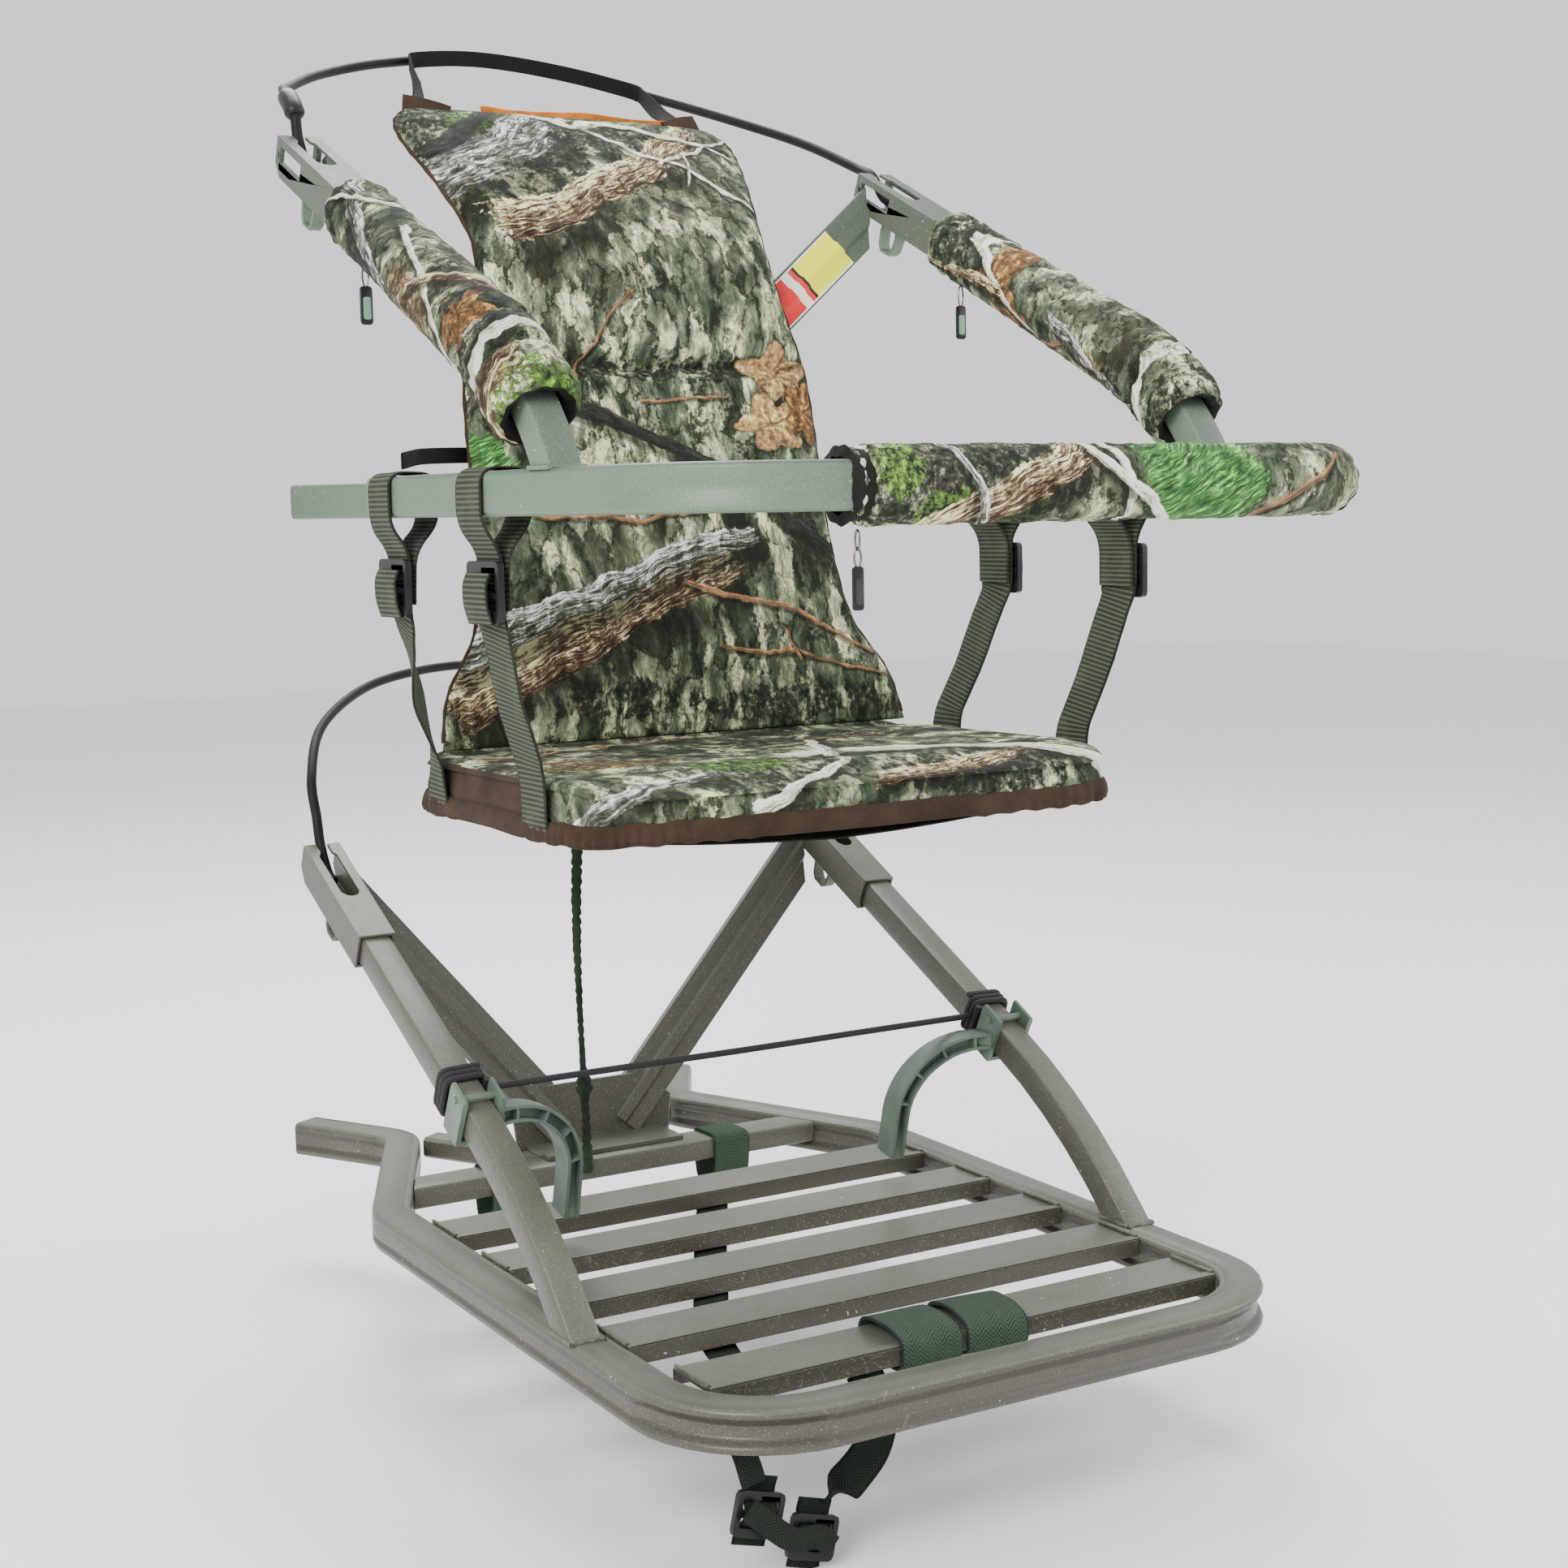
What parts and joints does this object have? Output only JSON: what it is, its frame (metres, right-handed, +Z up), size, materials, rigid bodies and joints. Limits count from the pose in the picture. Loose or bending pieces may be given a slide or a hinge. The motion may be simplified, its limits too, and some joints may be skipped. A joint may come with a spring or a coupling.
{
  "type": "climbing tree stand",
  "caption": "Two-part climbing tree stand: slatted foot platform with stirrups and a hanging padded seat with backrest, each on a bent tube frame with a tree cable.",
  "frame": {"origin": "middle of the V that bears on the trunk, level with the top of the platform rail", "axes": "+Z up along the trunk, -Y the way the sitter faces, +X to the sitter's left"},
  "size_m": [0.5962, 0.9641, 1.1066],
  "materials": {
    "frame_taupe": "fine powder coat, satin",
    "frame_sage": "fine powder coat, satin",
    "stirrup_plastic": "moulded, matt",
    "foot_webbing": "woven webbing",
    "seat_webbing": "woven webbing with light ribs",
    "black_webbing": "woven webbing",
    "tether_elastic": "gathered elastic webbing",
    "black_plastic": "moulded",
    "camouflage_fabric": "printed bark and branch camouflage",
    "cable_coating": "smooth black coating over steel rope",
    "zinc_steel": "zinc plated",
    "zip_metal": "plated"
  },
  "bodies": {
    "platform": {"platform_rail": "frame_taupe", "slat_1": "frame_taupe", "slat_2": "frame_taupe", "slat_3": "frame_taupe", "slat_4": "frame_taupe", "slat_5": "frame_taupe", "platform_crossbar": "frame_taupe", "platform_v_bar": "frame_taupe", "platform_yoke": "frame_taupe", "platform_arm_right": "frame_taupe", "platform_arm_left": "frame_taupe", "platform_bracket_right": "frame_taupe", "platform_bracket_left": "frame_taupe", "stirrup_right": "stirrup_plastic", "stirrup_left": "stirrup_plastic", "stirrup_cord": "cable_coating", "platform_cable": "cable_coating", "foot_loop_right": "foot_webbing", "foot_loop_left": "foot_webbing", "slat_loop_right": "foot_webbing", "slat_loop_left": "foot_webbing", "foot_strap": "foot_webbing", "foot_tail_right": "foot_webbing", "foot_tail_left": "foot_webbing", "foot_buckle_right": "black_plastic", "foot_buckle_left": "black_plastic", "tether": "tether_elastic"},
    "seat_frame": {"seat_rail": "frame_sage", "seat_crossbar": "frame_sage", "seat_v_bar": "frame_sage", "seat_yoke": "frame_sage", "seat_arm_right": "frame_sage", "seat_arm_left": "frame_sage", "seat_bracket_right": "frame_sage", "seat_bracket_left": "frame_sage", "seat_cable": "cable_coating", "cable_collar": "cable_coating", "front_sleeve": "camouflage_fabric", "arm_sleeve_right": "camouflage_fabric", "arm_sleeve_left": "camouflage_fabric", "hanger_strap": "black_webbing", "back_strap": "black_webbing", "seat_strap_front_right": "seat_webbing", "seat_strap_front_left": "seat_webbing", "seat_strap_rear_right": "seat_webbing", "seat_strap_rear_left": "seat_webbing", "strap_buckle_front_right": "black_plastic", "strap_buckle_front_left": "black_plastic", "strap_buckle_rear_right": "black_plastic", "strap_buckle_rear_left": "black_plastic"},
    "seat": {"seat_cushion": "camouflage_fabric", "seat_sling": "seat_webbing"},
    "backrest": {"backrest": "camouflage_fabric"},
    "platform_lock_right": {"platform_lock_right": "zinc_steel"},
    "platform_lock_left": {"platform_lock_left": "zinc_steel"},
    "seat_lock_right": {"seat_lock_right": "frame_sage"},
    "seat_lock_left": {"seat_lock_left": "frame_sage"},
    "zip_pull_front": {"zip_pull_front": "zip_metal"},
    "zip_pull_right": {"zip_pull_right": "zip_metal"},
    "zip_pull_left": {"zip_pull_left": "zip_metal"}
  },
  "joints": [
    {"name": "seat_frame_climb", "type": "slide", "parent": "platform", "child": "seat_frame", "axis": [0, 0, 1], "range_m": [-0.08, 0.3], "deforming": ["tether"]},
    {"name": "seat_swing", "type": "slide", "parent": "seat_frame", "child": "seat", "axis": [0, 1, 0], "range_m": [-0.032, 0.005], "deforming": ["seat_strap_front_right", "seat_strap_front_left", "seat_strap_rear_right", "seat_strap_rear_left"]},
    {"name": "backrest_tilt", "type": "hinge", "parent": "seat_frame", "child": "backrest", "pos_m": [0, -0.085, 0.9], "axis": [1, 0, 0], "range_deg": [-3.7, 0.65]},
    {"name": "platform_lock_right_pull", "type": "slide", "parent": "platform", "child": "platform_lock_right", "axis": [0, 0.4342, -0.9008], "range_m": [0, 0.0065], "stiffness_N_per_m": 250, "springref_m": -0.004},
    {"name": "platform_lock_left_pull", "type": "slide", "parent": "platform", "child": "platform_lock_left", "axis": [0, 0.4342, -0.9008], "range_m": [0, 0.0065], "stiffness_N_per_m": 250, "springref_m": -0.004},
    {"name": "seat_lock_right_pull", "type": "slide", "parent": "seat_frame", "child": "seat_lock_right", "axis": [0, 0.4179, -0.9085], "range_m": [0, 0.0065], "stiffness_N_per_m": 250, "springref_m": -0.004},
    {"name": "seat_lock_left_pull", "type": "slide", "parent": "seat_frame", "child": "seat_lock_left", "axis": [0, 0.4179, -0.9085], "range_m": [0, 0.0065], "stiffness_N_per_m": 250, "springref_m": -0.004},
    {"name": "zip_pull_right_swing", "type": "hinge", "parent": "seat_frame", "child": "zip_pull_right", "pos_m": [0.2654, -0.31, 0.7431], "axis": [1, 0, 0], "range_deg": [-30, 30]},
    {"name": "zip_pull_left_swing", "type": "hinge", "parent": "seat_frame", "child": "zip_pull_left", "pos_m": [-0.2654, -0.31, 0.7431], "axis": [1, 0, 0], "range_deg": [-30, 30]},
    {"name": "zip_pull_front_swing", "type": "hinge", "parent": "seat_frame", "child": "zip_pull_front", "pos_m": [-0.156, -0.808, 0.5457], "axis": [1, 0, 0], "range_deg": [-30, 30]}
  ],
  "couplings": [
    {"joint": "backrest_tilt", "follows": "seat_swing", "rad_per_m": 1.965}
  ]
}
